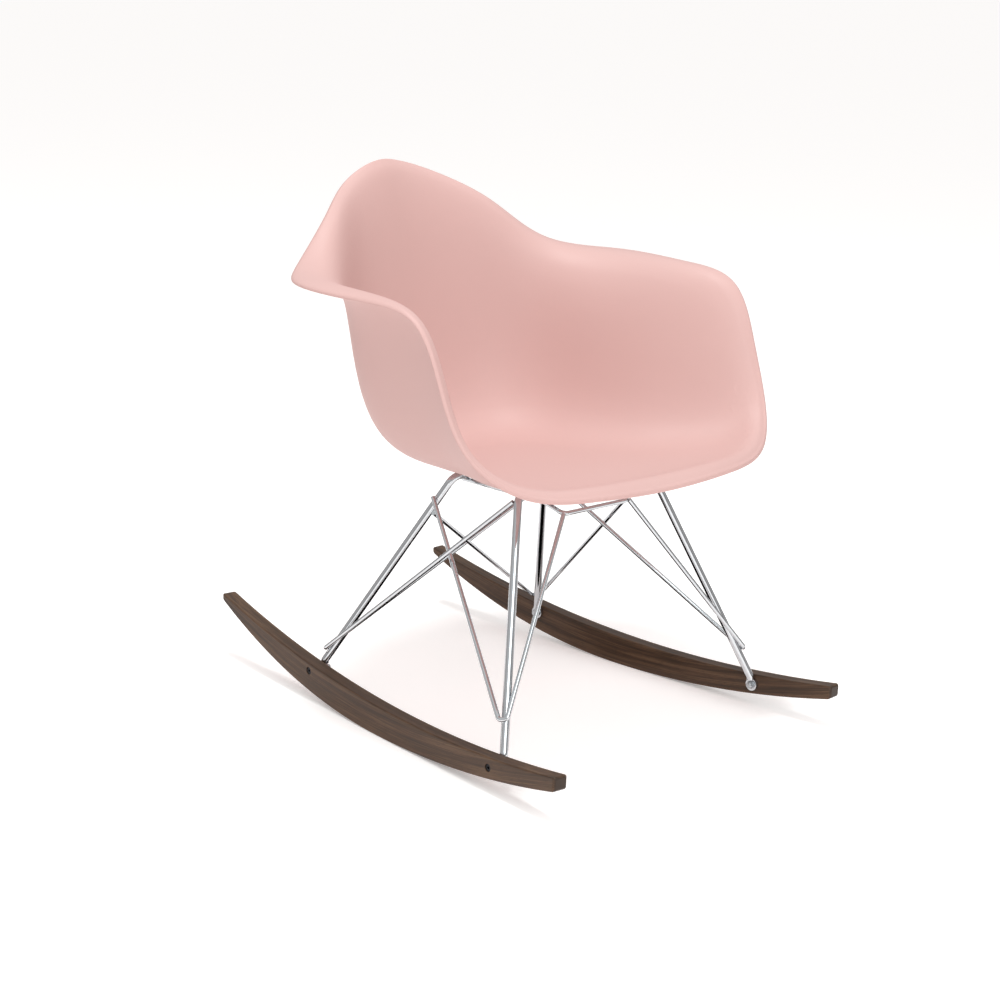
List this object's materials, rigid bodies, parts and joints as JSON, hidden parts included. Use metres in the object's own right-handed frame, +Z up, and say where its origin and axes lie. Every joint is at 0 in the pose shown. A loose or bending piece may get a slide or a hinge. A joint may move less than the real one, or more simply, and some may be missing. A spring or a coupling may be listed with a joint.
{
  "type": "rocking chair",
  "caption": "Rocking armchair with a moulded plastic bucket seat on a bent chrome rod base, standing on two curved wooden runners.",
  "frame": {"origin": "on the floor, in the chair's middle plane, level with the lines where the runners touch the floor at rest", "axes": "+Z up, -Y the way the sitter faces, +X to the sitter's left"},
  "size_m": [0.632, 0.7617, 0.7377],
  "materials": {
    "shell": "satin moulded plastic, pale pink",
    "brass": "turned brass",
    "rubber": "matte black rubber",
    "tab_steel": "bright chrome on steel plate",
    "wood": "oiled dark walnut",
    "rod_chrome": "bright chrome on steel rod",
    "bolt_black": "black oxide steel",
    "screw_steel": "bright zinc steel"
  },
  "bodies": {
    "root": {"cross_wire": "rod_chrome", "front_brace_left": "rod_chrome", "front_brace_right": "rod_chrome", "front_leg_rod": "rod_chrome", "left_runner": "wood", "pad_front_left": "rubber", "pad_front_right": "rubber", "pad_rear_left": "rubber", "pad_rear_right": "rubber", "rear_brace_left": "rod_chrome", "rear_brace_right": "rod_chrome", "rear_leg_rod": "rod_chrome", "right_runner": "wood", "runner_bolt_washers": "bolt_black", "runner_bolts": "bolt_black", "runner_nut_washers": "screw_steel", "runner_nuts": "screw_steel", "seat_shell": "shell", "shell_screw_washers": "screw_steel", "shell_screws": "bolt_black", "tab_front_left": "tab_steel", "tab_front_right": "tab_steel", "tab_rear_left": "tab_steel", "tab_rear_right": "tab_steel", "threaded_inserts": "brass"}
  },
  "joints": []
}
